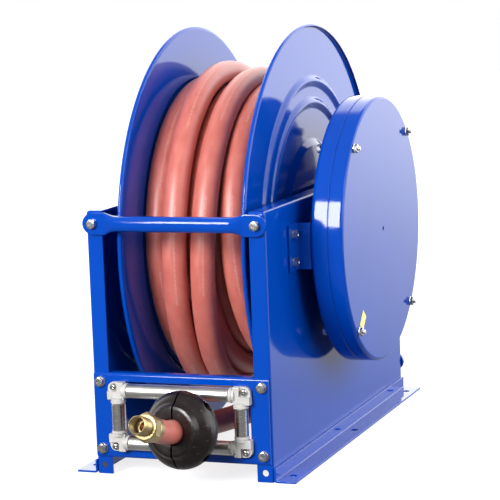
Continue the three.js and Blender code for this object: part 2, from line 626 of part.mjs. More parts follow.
add('guide_plate', guidePlate(), paint);
LEVELS.forEach(([level, height]) => {
  const place = [0, rollerY, GUIDE_MIDDLE_Z + level * ROLLER_DROP];
  add(`${height}_roller`, roller('x', GUIDE_HALF_WIDTH - GUIDE_BLOCK - 5.5, place), steel);
  SIDES.forEach(([side, name]) => {
    add(`${height}_${name}_guide_block`, guideBlock(side, level), nylon);
    const screwPlace = [side * screwX, guideFrontY + 5 - GAP, GUIDE_MIDDLE_Z + level * screwDrop];
    add(`${height}_${name}_block_screw`, blockScrew(), zinc, { at: screwPlace, turn: FACING_FRONT });
    const boltPlace = [side * BOLT_X, plateFrontY - GAP, GUIDE_MIDDLE_Z + level * 48];
    add(`${height}_${name}_guide_bolt`, boltAndNut(2 * SHEET), zinc, { at: boltPlace, turn: FACING_FRONT });
  });
});
SIDES.forEach(([side, name]) => {
  const place = [side * ROLLER_X, rollerY, GUIDE_MIDDLE_Z];
  add(`${name}_roller`, roller('z', GUIDE_HALF_HEIGHT - GUIDE_BLOCK - 5.5, place), steel);
});

add('axle', axle(), zinc);
add('drum_core', drumCore(), paint);
add('outlet_elbow', outletElbow(), brass);
add('ratchet_wheel', ratchetWheel(), zinc);
add('pawl', pawl(), zinc);
add('pawl_pin', pawlPin(), zinc);
add('inlet_swivel', inletSwivel(), brass);

add('canister_base_pan', drillCanister(canisterPan()), paint);
add('canister_cover', drillCanister(canisterCover()), paint);
boltOffsets.forEach(([sy, sz, name]) => {
  const place = [CANISTER_FACE_X + GAP, sy * CANISTER_BOLT_OFFSET, AXLE_HEIGHT + sz * CANISTER_BOLT_OFFSET];
  const bolt = boltAndNut(CANISTER_FACE_X - CANISTER_BACK_X + 1, 11);
  add(`canister_${name}_bolt`, bolt, zinc, { at: place, turn: FACING_RIGHT });
});
add('canister_bracket', canisterBracket(), paint);
BRACKET_BOLT_Z.forEach((z, i) => {
  const place = [panelOuterX + SHEET + GAP, BRACKET_BOLT_Y, z];
  add(`bracket_${LEVELS[i][1]}_bolt`, boltAndNut(2 * SHEET), zinc, { at: place, turn: FACING_RIGHT });
});
add('power_spring', powerSpring(), springSteel);
add('spring_arbor', springArbor(), zinc);

add('hose_winding', hoseWinding(), hoseRubber);
add('hose_run', hoseRun(), hoseRubber);
SIDES.forEach(([side, name]) => {
  add(`${name}_ball_half`, ballHalf(side), blackRubber, { at: BALL_MIDDLE.toArray(), aim: BALL_AIM });
});
const fittingPlace = FITTING_START.clone().addScaledVector(FITTING_AIM, GAP);
add('hose_fitting', hoseFitting(), brass, { at: fittingPlace.toArray(), aim: FITTING_AIM });

// Centre the reel front to back between the guide's face and the rear tie bars.
reel.position.y = (-guideFrontY - (barY + BAR_RADIUS)) / 2;

export default reel;
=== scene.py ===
"""The finished look of the spring-driven fire hose reel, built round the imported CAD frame.

Shapes are drawn in millimetres, with x = 0 midway between the side panels, y = 0 at the axle and z = 0 on the
floor, and piece() puts them in the frame in metres. +Z is up and the roller guide faces -Y.
"""
import json
import math

import bmesh
import bpy
from mathutils import Matrix, Vector


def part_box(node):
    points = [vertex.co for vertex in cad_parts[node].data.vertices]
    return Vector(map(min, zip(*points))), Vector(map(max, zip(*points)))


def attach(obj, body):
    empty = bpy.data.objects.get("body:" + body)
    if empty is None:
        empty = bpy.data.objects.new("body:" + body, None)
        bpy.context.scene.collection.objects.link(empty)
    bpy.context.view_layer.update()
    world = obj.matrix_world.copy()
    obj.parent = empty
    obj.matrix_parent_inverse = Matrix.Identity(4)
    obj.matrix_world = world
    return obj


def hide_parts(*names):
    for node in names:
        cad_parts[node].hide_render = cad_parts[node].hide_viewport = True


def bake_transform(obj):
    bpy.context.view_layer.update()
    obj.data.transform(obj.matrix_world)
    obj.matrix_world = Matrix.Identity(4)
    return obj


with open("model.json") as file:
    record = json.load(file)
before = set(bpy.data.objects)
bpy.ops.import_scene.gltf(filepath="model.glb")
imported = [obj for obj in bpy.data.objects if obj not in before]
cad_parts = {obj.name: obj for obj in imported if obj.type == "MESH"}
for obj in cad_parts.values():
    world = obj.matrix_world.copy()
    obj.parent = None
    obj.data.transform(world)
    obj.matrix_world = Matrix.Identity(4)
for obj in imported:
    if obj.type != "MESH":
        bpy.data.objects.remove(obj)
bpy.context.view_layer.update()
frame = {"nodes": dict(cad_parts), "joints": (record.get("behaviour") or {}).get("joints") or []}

# ---- driving dimensions, in millimetres
MM = 0.001
DRUM_SPIN = next(joint for joint in frame["joints"] if joint["name"] == "drum_spin")
AXLE_Y, AXLE_Z = DRUM_SPIN["pos_m"][1] / MM, DRUM_SPIN["pos_m"][2] / MM

SHEET = 3
PANEL_X = 133  # outer face of a side panel
FLANGE = 24
FRONT_Y = -316  # front face of the side panels' flanges; the rear one is opposite
PANEL_HEIGHT = 376
BOLT_X = 121
TIE_BAR_Z = 358
REAR_BAR_Z = 45  # the lower one of the rear tie bars
PLATE_BOLTS_Z = (134, 38)
FLOOR_HOLE_Z = 13
BEND = 4.5  # outer radius of a fold
HOLE = 4.6  # radius of a bolt's hole

DRUM_MIDDLE_X = 3
DRUM_HALF_WIDTH = 88.5
DISC_RADIUS = 305
AXLE_RADIUS = 16
AXLE_BORE = AXLE_RADIUS + 0.3
PORT_X = 62  # where the hose starts on the drum's core

HOSE_RADIUS = 16.5
CANISTER_BACK_X = 156.3
BRACKET_BOLTS_Y = -210
BRACKET_BOLTS_Z = (AXLE_Z + 19, AXLE_Z - 20)

GUIDE_Z = 86
PLATE_Y = FRONT_Y - SHEET
GUIDE_Y = PLATE_Y - 12  # front face of the corner blocks
ROLLER_Y = PLATE_Y - 6
ROLLER_X = 92
ROLLER_DROP = 37.5

SIDES = ((-1, "left"), (1, "right"))
LEVELS = ((1, "upper"), (-1, "lower"))


# ---- camera
def make_camera():
    """The view from the front right, a little above the reel."""
    azimuth, elevation, roll = (math.radians(degrees) for degrees in (20.618, 8.11, -2.1))
    distance, target_height, target_side = 3.13494, 0.276408, -0.008024
    data = bpy.data.cameras.new("camera")
    data.sensor_width = 36
    data.lens = 148.28
    camera = add_object("camera", data)
    aim = Matrix.Rotation(azimuth, 4, "Z") @ Matrix.Rotation(math.pi / 2 - elevation, 4, "X")
    back = Matrix.Translation((target_side, 0, distance)) @ Matrix.Rotation(roll, 4, "Z")
    camera.matrix_world = Matrix.Translation((0, AXLE_Y * MM, target_height)) @ aim @ back
    bpy.context.scene.camera = camera


# ---- places
def axis_place(axis, at=(0, 0, 0)):
    """Turns a shape drawn along its own z axis to run from a point along an axis of the reel."""
    rows = {
        "x": ((0, 0, 1), (1, 0, 0), (0, 1, 0)),
        "-x": ((0, 0, -1), (-1, 0, 0), (0, 1, 0)),
        "y": ((0, 1, 0), (0, 0, 1), (1, 0, 0)),
        "-y": ((1, 0, 0), (0, 0, -1), (0, 1, 0)),
        "z": ((1, 0, 0), (0, 1, 0), (0, 0, 1)),
    }[axis]
    return Matrix.Translation(at) @ Matrix(rows).to_4x4()


def aim_place(direction, at):
    """The same for a slanted direction, with the shape's y axis kept upward."""
    z = Vector(direction).normalized()
    x = Vector((0, 0, 1)).cross(z).normalized() * -1
    y = z.cross(x)
    return Matrix.Translation(at) @ Matrix((x, y, z)).transposed().to_4x4()


ABOUT_AXLE = axis_place("x", (0, 0, AXLE_Z))


# ---- outlines
def rounded(points, steps=5):
    """A closed outline as (a, b) pairs. A point given as (a, b, radius) becomes a round corner."""
    outline = []
    for i, point in enumerate(points):
        here = Vector(point[:2])
        if len(point) == 2:
            outline.append(tuple(here))
            continue
        before = (Vector(points[i - 1][:2]) - here).normalized()
        after = (Vector(points[(i + 1) % len(points)][:2]) - here).normalized()
        half = before.angle(after) / 2
        reach = point[2] / math.tan(half)
        start, end = here + before * reach, here + after * reach
        centre = here + (before + after).normalized() * (point[2] / math.sin(half))
        sweep = (start - centre).angle_signed(end - centre)
        for step in range(steps + 1):
            turn = Matrix.Rotation(-sweep * step / steps, 2)
            outline.append(tuple(centre + turn @ (start - centre)))
    return outline


def arc(centre, radius, start, end, steps):
    """Points (a, b) round a centre, from one angle in degrees to another."""
    turns = [math.radians(start + (end - start) * k / steps) for k in range(steps + 1)]
    return [(centre[0] + radius * math.cos(turn), centre[1] + radius * math.sin(turn)) for turn in turns]


def hex_ring(along, half_flats, chamfer=0):
    """A ring of a hexagon for spin(), its corners cut back by a chamfer of +1 (towards +z) or -1."""
    def at(angle):
        radius = half_flats / math.cos((angle + math.pi / 6) % (math.pi / 3) - math.pi / 6)
        return along - chamfer * 0.577 * max(0, radius - half_flats * 0.96), radius
    return at


# ---- mesh tools
def spin(bm, profile, place, segments=96):
    """Turns a profile of (along, radius) points, or rings from hex_ring, about its own z axis.
    One that starts and ends on the axis is a solid; any other closes on itself round a bore."""
    columns = []
    for i in range(segments):
        angle = 2 * math.pi * i / segments
        column = []
        for entry in profile:
            along, radius = entry(angle) if callable(entry) else entry
            point = Vector((radius * math.cos(angle), radius * math.sin(angle), along))
            column.append(bm.verts.new(place @ point))
        columns.append(column)
    solid = all(not callable(entry) and entry[1] == 0 for entry in (profile[0], profile[-1]))
    count = len(profile)
    for i, column in enumerate(columns):
        following = columns[(i + 1) % segments]
        for j in range(count - 1 if solid else count):
            k = (j + 1) % count
            bm.faces.new((column[j], following[j], following[k], column[k]))
    bmesh.ops.remove_doubles(bm, verts=[v for column in columns for v in column], dist=1e-4)


def plate(bm, outline, thickness, place, holes=(), edge=0.5):
    """A flat plate on z = 0 with softened edges; the outline and its holes are lists of (x, y)."""
    curve = bpy.data.curves.new("plate", "CURVE")
    curve.dimensions = "2D"
    curve.fill_mode = "BOTH"
    curve.extrude = thickness / 2 - edge
    curve.bevel_depth = edge
    curve.offset = -edge
    curve.bevel_resolution = 1
    for loop in (outline, *holes):
        spline = curve.splines.new("POLY")
        spline.points.add(len(loop) - 1)
        for point, (x, y) in zip(spline.points, loop):
            point.co = (x, y, 0, 1)
        spline.use_cyclic_u = True
    holder = bpy.data.objects.new("plate", curve)
    mesh = bpy.data.meshes.new_from_object(holder)
    mesh.transform(place @ Matrix.Translation((0, 0, thickness / 2)))
    bm.from_mesh(mesh)
    bpy.data.objects.remove(holder)
    bpy.data.curves.remove(curve)
    bpy.data.meshes.remove(mesh)
    bmesh.ops.remove_doubles(bm, verts=bm.verts, dist=1e-3)


def prism(bm, outline, depth, place):
    """A plain straight-sided block on z = 0."""
    loft(bm, [[place @ Vector((x, y, z)) for x, y in outline] for z in (0, depth)])


def bar(bm, x, y, z):
    """A plain block between the pairs x, y and z, for cutting and joining."""
    low, high = (Vector(corner) for corner in zip(x, y, z))
    verts = bmesh.ops.create_cube(bm, size=1)["verts"]
    bmesh.ops.scale(bm, vec=high - low, verts=verts)
    bmesh.ops.translate(bm, vec=(low + high) / 2, verts=verts)


def move(bm, place):
    bmesh.ops.transform(bm, matrix=place, verts=bm.verts)


def mirrored(side, low, high):
    """A pair of numbers, or its mirror image for the left side."""
    return (low, high) if side > 0 else (-high, -low)


def rod(bm, axis, radius, start, length, segments=40):
    spin(bm, [(0, 0), (0, radius), (length, radius), (length, 0)], axis_place(axis, start), segments)


def turned(profile, segments, place=ABOUT_AXLE):
    """A build function for one turned shape."""
    return lambda bm: spin(bm, profile, place, segments)


def loft(bm, rings):
    """A closed skin over rings of points, each with the same number of points."""
    made = [[bm.verts.new(point) for point in ring] for ring in rings]
    count = len(rings[0])
    for ring, following in zip(made, made[1:]):
        for j in range(count):
            k = (j + 1) % count
            bm.faces.new((ring[j], ring[k], following[k], following[j]))
    bm.faces.new(list(reversed(made[0])))
    bm.faces.new(made[-1])


def spline_through(stations, steps):
    """Points on a smooth curve through stations, which are tuples ordered by their first number."""
    def slope(i):
        low, high = stations[max(i - 1, 0)], stations[min(i + 1, len(stations) - 1)]
        return [(b - a) / (high[0] - low[0]) for a, b in zip(low[1:], high[1:])]
    samples = []
    for i, (start, end) in enumerate(zip(stations, stations[1:])):
        span = end[0] - start[0]
        pieces = max(1, round(steps * span))
        for step in range(pieces):
            t = step / pieces
            h = (2 * t**3 - 3 * t**2 + 1, t**3 - 2 * t**2 + t, 3 * t**2 - 2 * t**3, t**3 - t**2)
            values = [h[0] * a + h[1] * span * m + h[2] * b + h[3] * span * n
                      for a, b, m, n in zip(start[1:], end[1:], slope(i), slope(i + 1))]
            samples.append((start[0] + span * t, *values))
    samples.append(tuple(stations[-1]))
    return samples


def sweep(bm, points, across, ups, sides=32):
    """A tube along points. across gives each ring's (half width, half height), and ups its upper side.
    Its UV map runs once round the tube in u, from the upper side, and along it in metres in v."""
    uv = bm.loops.layers.uv.verify()
    turns = [2 * math.pi * k / sides for k in range(sides)]
    rings, run = [], [0]
    for i, point in enumerate(points):
        tangent = (points[min(i + 1, len(points) - 1)] - points[max(i - 1, 0)]).normalized()
        side = tangent.cross(ups[i]).normalized()
        up = side.cross(tangent)
        wide, tall = across[i]
        ring = [point + up * tall * math.cos(turn) + side * wide * math.sin(turn) for turn in turns]
        rings.append([bm.verts.new(corner) for corner in ring])
        if i:
            run.append(run[-1] + (point - points[i - 1]).length * MM)
    for i, (ring, following) in enumerate(zip(rings, rings[1:])):
        for j in range(sides):
            k = (j + 1) % sides
            face = bm.faces.new((ring[j], ring[k], following[k], following[j]))
            corners = ((j, i), (j + 1, i), (j + 1, i + 1), (j, i + 1))
            for loop, (u, v) in zip(face.loops, corners):
                loop[uv].uv = (u / sides, run[v])
    bm.faces.new(list(reversed(rings[0])))
    bm.faces.new(rings[-1])


def tube(bm, points, radius, up, sides):
    """A round tube along points, with the same upper side throughout."""
    sweep(bm, points, [(radius, radius)] * len(points), [Vector(up)] * len(points), sides)


def modify(thing, kind, **settings):
    """Gives an object the mesh that a modifier makes of its own."""
    modifier = thing.modifiers.new(kind, kind)
    for key, value in settings.items():
        setattr(modifier, key, value)
    view = bpy.context.evaluated_depsgraph_get()
    made = bpy.data.meshes.new_from_object(thing.evaluated_get(view))
    old = thing.data
    thing.modifiers.clear()
    thing.data = made
    bpy.data.meshes.remove(old)


def merged(thing, distance):
    """Merges points that a cut or a bevel leaves closer than a distance."""
    bm = bmesh.new()
    bm.from_mesh(thing.data)
    bmesh.ops.remove_doubles(bm, verts=bm.verts, dist=distance)
    bmesh.ops.dissolve_degenerate(bm, edges=bm.edges, dist=distance)
    bm.to_mesh(thing.data)
    bm.free()


def add_object(name, data):
    made = bpy.data.objects.new(name, data)
    bpy.context.collection.objects.link(made)
    return made


def mesh_object(name, build):
    bm = bmesh.new()
    build(bm)
    bmesh.ops.recalc_face_normals(bm, faces=bm.faces)
    mesh = bpy.data.meshes.new(name)
    bm.to_mesh(mesh)
    bm.free()
    return add_object(name, mesh)


def combine(thing, build, operation):
    """Cuts a shape from an object's mesh, or joins it on."""
    tool = mesh_object("tool", build)
    modify(thing, "BOOLEAN", object=tool, operation=operation, solver="EXACT", use_self=True)
    merged(thing, 0.03)
    mesh = tool.data
    bpy.data.objects.remove(tool)
    bpy.data.meshes.remove(mesh)


def piece(name, build, look, body, node=None, cut=None, join=None, edge=0, sharp=38):
    """Makes one piece of the reel from a shape drawn in millimetres, and rides it on its body. node is the
    CAD node it replaces, cut and join are shapes taken off and put on, and edge is its bevels' width."""
    thing = mesh_object(name, build)
    if join:
        combine(thing, join, "UNION")
    if cut:
        combine(thing, cut, "DIFFERENCE")
    if edge:
        modify(thing, "BEVEL", width=edge, segments=2, limit_method="ANGLE", angle_limit=math.radians(50))
        merged(thing, 0.004)
    thing.data.transform(Matrix.Scale(MM, 4) @ Matrix.Translation((0, AXLE_Y, 0)))
    thing.data.shade_smooth()
    thing.data.set_sharp_from_angle(angle=math.radians(sharp))
    thing.modifiers.new("weighted_normals", "WEIGHTED_NORMAL").keep_sharp = True
    look.paint(thing)
    if body:
        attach(thing, body)
    if node:
        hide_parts(node)
    return thing


# ---- materials
def add_node(tree, kind, inputs=None, **settings):
    """A new shader node, its inputs set to constants or linked to outputs."""
    made = tree.nodes.new("ShaderNode" + kind)
    for key, value in settings.items():
        setattr(made, key, value)
    for key, value in (inputs or {}).items():
        if isinstance(value, bpy.types.NodeSocket):
            tree.links.new(value, made.inputs[key])
        else:
            made.inputs[key].default_value = value
    return made


def ramp(tree, value, start, end, low=0, high=1, **settings):
    """A value that goes from low to high as another goes from start to end."""
    inputs = {"Value": value, "From Min": start, "From Max": end, "To Min": low, "To Max": high}
    return add_node(tree, "MapRange", inputs, **settings).outputs[0]


class Look:
    """A procedural material and its slot; its coordinates stay with the piece."""

    def __init__(self, name, slot=None, **settings):
        self.slot = slot or name
        self.material = bpy.data.materials.new(name)
        self.material.use_nodes = True
        self.tree = self.material.node_tree
        self.shader = self.tree.nodes["Principled BSDF"]
        self.coordinates = self.node("TexCoord").outputs
        for socket, value in settings.items():
            self.shader.inputs[socket.replace("_", " ")].default_value = value

    def node(self, kind, inputs=None, **settings):
        return add_node(self.tree, kind, inputs, **settings)

    def noise(self, scale, detail=3, stretch=(1, 1, 1), space="Object"):
        moved = self.node("Mapping", {"Vector": self.coordinates[space], "Scale": stretch})
        inputs = {"Vector": moved.outputs[0], "Scale": scale, "Detail": detail}
        return self.node("TexNoise", inputs).outputs["Fac"]

    def between(self, value, low, high, start=0.3, end=0.7):
        return ramp(self.tree, value, start, end, low, high)

    def mix(self, amount, first, second):
        return self.node("Mix", {0: amount, 6: first, 7: second}, data_type="RGBA").outputs[2]

    def math(self, operation, first, second=0.5):
        return self.node("Math", {0: first, 1: second}, operation=operation).outputs[0]

    def bump(self, height, distance, strength=1):
        last = self.shader.inputs["Normal"].links
        made = self.node("Bump", {"Height": height, "Distance": distance, "Strength": strength})
        if last:
            self.tree.links.new(last[0].from_socket, made.inputs["Normal"])
        self.set("Normal", made.outputs[0])

    def set(self, socket, output):
        self.tree.links.new(output, self.shader.inputs[socket])

    def paint(self, thing):
        thing.data.materials.clear()
        thing.data.materials.append(self.material)

    def tint(self, value, low, high, *span):
        """Colours the surface between low and high as a value rises."""
        self.set("Base Color", self.mix(self.between(value, 0, 1, *span), (*low, 1), (*high, 1)))

    def rough(self, value, low, high):
        self.set("Roughness", self.between(value, low, high))


def blue_paint():
    """Glossy powder coat: clean colour with faint clouding and a fine orange peel."""
    look = Look("blue_paint", Specular_IOR_Level=0.32)
    look.tint(look.noise(9), (0, 0.05, 0.37), (0, 0.056, 0.41))
    look.rough(look.noise(60), 0.06, 0.1)
    look.bump(look.noise(420, 2), 0.00003, 0.5)
    return look


def zinc_plate():
    """Bright zinc on fasteners, mottled where it has been handled."""
    look = Look("zinc_plate", Metallic=1)
    look.tint(look.noise(260, 5), (0.48, 0.47, 0.45), (0.7, 0.69, 0.67))
    look.rough(look.noise(300, 3), 0.2, 0.32)
    look.bump(look.noise(900, 2), 0.00002, 0.3)
    return look


def roller_steel(axis, low, high):
    """Ground tube: fine rings round the roller, which runs along x or z."""
    look = Look("roller_steel_" + axis, "roller_steel", Metallic=1)
    stretch = (1, 0.02, 0.02) if axis == "x" else (0.02, 0.02, 1)
    rings = look.noise(2400, 2, stretch)
    look.tint(look.noise(45, 4), (0.66, 0.64, 0.6), (0.8, 0.79, 0.77))
    look.rough(rings, low, high)
    look.bump(rings, 0.000004, 0.5)
    return look


def white_nylon():
    look = Look("white_nylon", Subsurface_Weight=0.12, Subsurface_Scale=0.002)
    look.tint(look.noise(70, 4), (0.46, 0.45, 0.43), (0.56, 0.55, 0.54))
    look.rough(look.noise(300), 0.38, 0.55)
    look.bump(look.noise(900, 3), 0.00005, 0.5)
    return look


def hose_rubber():
    """Smooth red rubber: chalky bands, the faint rings left by its wrapping, and a broken white line."""
    look = Look("hose_rubber", Specular_IOR_Level=0.72, IOR=1.6, Sheen_Weight=0.06, Sheen_Roughness=0.5)
    u, v, _ = look.node("SeparateXYZ", {0: look.coordinates["UV"]}).outputs
    chalk = look.noise(1, 4, (6, 34, 1), "UV")
    grain = look.noise(900, 3)
    red = look.mix(look.between(chalk, 0, 1, 0.35, 0.75), (0.55, 0.124, 0.095, 1), (0.65, 0.184, 0.144, 1))
    red = look.mix(look.between(grain, 0, 0.25), red, (0.45, 0.1, 0.075, 1))
    dashes = look.math("LESS_THAN", look.math("FRACT", look.math("MULTIPLY", v, 4)), 0.55)
    worn = look.math("GREATER_THAN", look.noise(1, 3, (160, 420, 1), "UV"), 0.53)
    off_line = look.math("ABSOLUTE", look.math("SUBTRACT", u, 0.055))
    broken = look.math("MULTIPLY", dashes, worn)
    line = look.math("MULTIPLY", look.math("LESS_THAN", off_line, 0.014), broken)
    look.set("Base Color", look.mix(look.math("MULTIPLY", line, 0.3), red, (0.86, 0.74, 0.7, 1)))
    look.rough(chalk, 0.39, 0.48)
    inputs = {"Vector": look.coordinates["UV"], "Scale": 52, "Distortion": 0.6, "Detail": 2}
    wrap = look.node("TexWave", inputs, bands_direction="Y")
    look.bump(wrap.outputs["Fac"], 0.00012, 0.35)
    look.bump(grain, 0.00006, 0.4)
    return look


def black_rubber():
    """Moulded rubber with a waxy shine and pale scuffs."""
    look = Look("black_rubber", Specular_IOR_Level=0.4, Coat_Weight=0.12, Coat_Roughness=0.15)
    scuff = look.noise(120, 8, (1, 1, 2.2))
    look.tint(scuff, (0.009, 0.005, 0.005), (0.07, 0.06, 0.055), 0.62, 0.72)
    look.rough(look.noise(90, 5), 0.24, 0.42)
    look.bump(look.noise(700, 3), 0.00006, 0.45)
    return look


def brass():
    look = Look("brass", Metallic=1)
    look.tint(look.noise(50, 4), (0.48, 0.37, 0.17), (0.6, 0.49, 0.27))
    look.rough(look.noise(120, 3), 0.34, 0.42)
    return look


def spring_steel():
    look = Look("spring_steel", Metallic=1)
    look.tint(look.noise(80, 4), (0.12, 0.13, 0.15), (0.2, 0.2, 0.22))
    look.rough(look.noise(300), 0.3, 0.5)
    return look


def label_film():
    """A blank yellow label with a slightly worn face."""
    look = Look("label_film", "blue_paint", Coat_Weight=0.3, Coat_Roughness=0.2)
    look.tint(look.noise(300, 4), (0.86, 0.76, 0.1), (0.92, 0.86, 0.3))
    look.rough(look.noise(200), 0.3, 0.45)
    return look


PAINT, ZINC, NYLON, HOSE = blue_paint(), zinc_plate(), white_nylon(), hose_rubber()
RUBBER, BRASS, SPRING, LABEL = black_rubber(), brass(), spring_steel(), label_film()
LEVEL_STEEL, UPRIGHT_STEEL = roller_steel("x", 0.3, 0.4), roller_steel("z", 0.2, 0.28)


# ---- hose
# The outer turns and the last of each layer: turns from the end, x, and the radius of the hose's middle. The
# end is at the bottom of the drum, and a quarter turn before it the hose is at the rear.
WINDING = (
    (-12.463, 62, 151.4), (-12.3, 60, 148.5), (-11.4, 22, 148), (-10.4, -20, 148), (-9.6, -56, 149),
    (-9.2, -66, 164), (-8.8, -60, 177), (-7.8, -28, 177), (-6.8, 5, 177), (-5.8, 40, 177),
    (-5.35, 60, 180), (-5.05, 64, 197), (-4.73, 42, 206), (-4.5, 38, 206), (-4.2, 18, 206),
    (-3.9, -4, 206), (-3.6, -11, 206), (-3.4, -24, 206), (-3.1, -60, 208), (-2.9, -67, 211),
    (-2.73, -69, 213), (-2.5, -68, 215), (-2.25, -62, 223), (-2, -55, 232), (-1.907, -49, 236),
    (-1.73, -34, 236), (-1.5, -36, 236), (-1.25, -32, 236), (-1, -19, 237), (-0.907, -11, 237),
    (-0.73, 10, 234), (-0.5, 13, 226), (-0.25, 36, 238), (0, 64, 251),
)
RINGS_PER_TURN = 132

RUN = (
    (64, 0, 61), (62, -40, 61.4), (56, -95, 62.4), (50, -150, 64.6), (44.6, -200, 67.2), (38.8, -250, 70.7),
    (31.9, -310, 76.1), (27.4, -349, 80.4), (24, -377, 83.8), (21.2, -400, 86.6), (19.5, -417, 89.3),
    (18.4, -434, 94.2),
)
BALL_PLACE = aim_place((-0.12, -1, 0.12), (24, -377, 83.8))
BALL_BOLTS = 35  # how far above and below the ball's middle its bolts are
FITTING_START = Vector((16.7, -454.6, 101.8))
FITTING_AIM = Vector((-0.076, -0.935, 0.344)).normalized()


def make_winding():
    """Every turn on the drum, pressed a little oval where it lies on the turns below."""
    points, ups = [], []
    for turns, x, radius in spline_through(WINDING, RINGS_PER_TURN):
        angle = math.pi + 2 * math.pi * turns
        out = Vector((0, math.sin(angle), math.cos(angle)))
        points.append(Vector((x, 0, AXLE_Z)) + out * radius)
        ups.append(out)
    across, last, fade = [], len(points) - 1, 60
    for i in range(last + 1):
        pressed = min(1, i / fade, (last - i) / fade)
        across.append((HOSE_RADIUS + 1.4 * pressed, HOSE_RADIUS - 0.5 * pressed))
    winding = piece("hose_turns", lambda bm: sweep(bm, points, across, ups, 36), HOSE, "drum", "hose_winding")


def make_run(with_pieces):
    """The stretch from the bottom of the drum to the fitting."""
    stations = [*RUN, tuple(FITTING_START - FITTING_AIM * 8), tuple(FITTING_START)]
    travel, numbered = 0, []
    for i, point in enumerate(stations):
        if i:
            travel += (Vector(point) - Vector(stations[i - 1])).length
        numbered.append((travel, *point))
    points = [Vector(sample[1:]) for sample in spline_through(numbered, 0.25)]
    run = piece("hose_free_end", lambda bm: tube(bm, points, HOSE_RADIUS, (0, 0, 1), 36), HOSE, None,
                "hose_run")
    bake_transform(run)


def make_ball_half(side, name):
    """Half of the ball stop, with a shoulder on each face and pockets for its two bolts."""
    bore, radius, lip, thick, slot = HOSE_RADIUS + 0.9, 54, 37, 28, 1.3
    quarter = [math.pi / 2 * step / 24 for step in range(25)]
    dome = [(thick * math.sin(angle), radius * math.cos(angle) ** 0.8) for angle in quarter]
    shoulder = [(27, 35), (27.2, 33.6), (27.7, 32.4), (thick, 30), (thick, 21), (27.2, bore + 0.8),
                (26, bore)]
    front = [point for point in dome if point[1] > lip] + shoulder
    profile = [(-along, r) for along, r in reversed(front)] + front[1:]

    def cuts(bm):
        bar(bm, (-80, slot) if side > 0 else (-slot, 80), (-80, 80), (-80, 80))
        move(bm, BALL_PLACE)
        low, high = mirrored(side, 16, 64)
        for level in (-BALL_BOLTS, BALL_BOLTS):
            pocket = BALL_PLACE @ axis_place("x", (0, level, 0))
            spin(bm, [(low, 0), (low, 6.2), (high, 6.2), (high, 0)], pocket, 40)

    return piece(f"{name}_ball_rubber", turned(profile, 144, BALL_PLACE), RUBBER, "hose_end",
                 f"{name}_ball_half", cut=cuts, edge=0.8)


def make_ball_bolts():
    """The two bolts that clamp the ball's halves on the hose, down in the pockets."""
    made = []
    for level, name in LEVELS:
        place = BALL_PLACE @ axis_place("x", (0, level * BALL_BOLTS, 0))

        def build(bm, place=place):
            spin(bm, [(-15.6, 0), (-15.6, 2.2), (15, 2.2), (15, 0)], place, 24)
            spin(bm, [(16, 0), (16, 5), (20.4, 5), (21, 4.4), (21, 2.4), (18.4, 2.3), (18.4, 0)], place, 36)
            spin(bm, [(-20, 0), hex_ring(-20, 4.6, -1), hex_ring(-16, 4.6), (-16, 0)], place, 36)
        made.append(piece(f"ball_{name}_bolt", build, ZINC, "hose_end"))
    return made


def make_fitting():
    """The brass male end: a short sleeve, a hexagon, and a threaded nose with a wide, stepped bore."""
    place = aim_place(FITTING_AIM, FITTING_START)
    pitch, root, crest = 1.9, 12.5, 13.2
    sleeve = rounded([(0.3, 16.2), (0.3, 17.2, 0.7), (9.5, 17.2, 3), (13.2, 16.4)], 4)
    hexagon = [hex_ring(13.2, 18, -1), hex_ring(27, 18, 1), (27.2, 17.2), (27.6, 16.2), (27.8, 13),
               (29.6, 12.7)]
    thread = []
    for turn in range(9):
        start, taper = 30.2 + pitch * turn, 0.03 * turn
        thread += [(start, root - taper), (start + 0.7, crest - taper), (start + 1.1, crest - taper)]
    nose = rounded([(48, 12.4), (48.4, 12.7), (50.2, 11.8, 0.4), (50.2, 11.3, 0.3), (48.4, 11)], 4)
    inside = []
    for turn in range(8):
        start = 48.2 - 1.5 * turn
        inside += [(start, 11), (start - 0.7, 10.2)]
    inside += rounded([(35.4, 10.6), (28, 10.6, 1), (27.4, 6.6, 0.8), (1, 6.6), (0.3, 8)], 4)
    profile = [*sleeve, *hexagon, *thread, *nose, *inside]
    return piece("brass_hose_end", turned(profile, 144, place), BRASS, "hose_end", "hose_fitting", sharp=32)


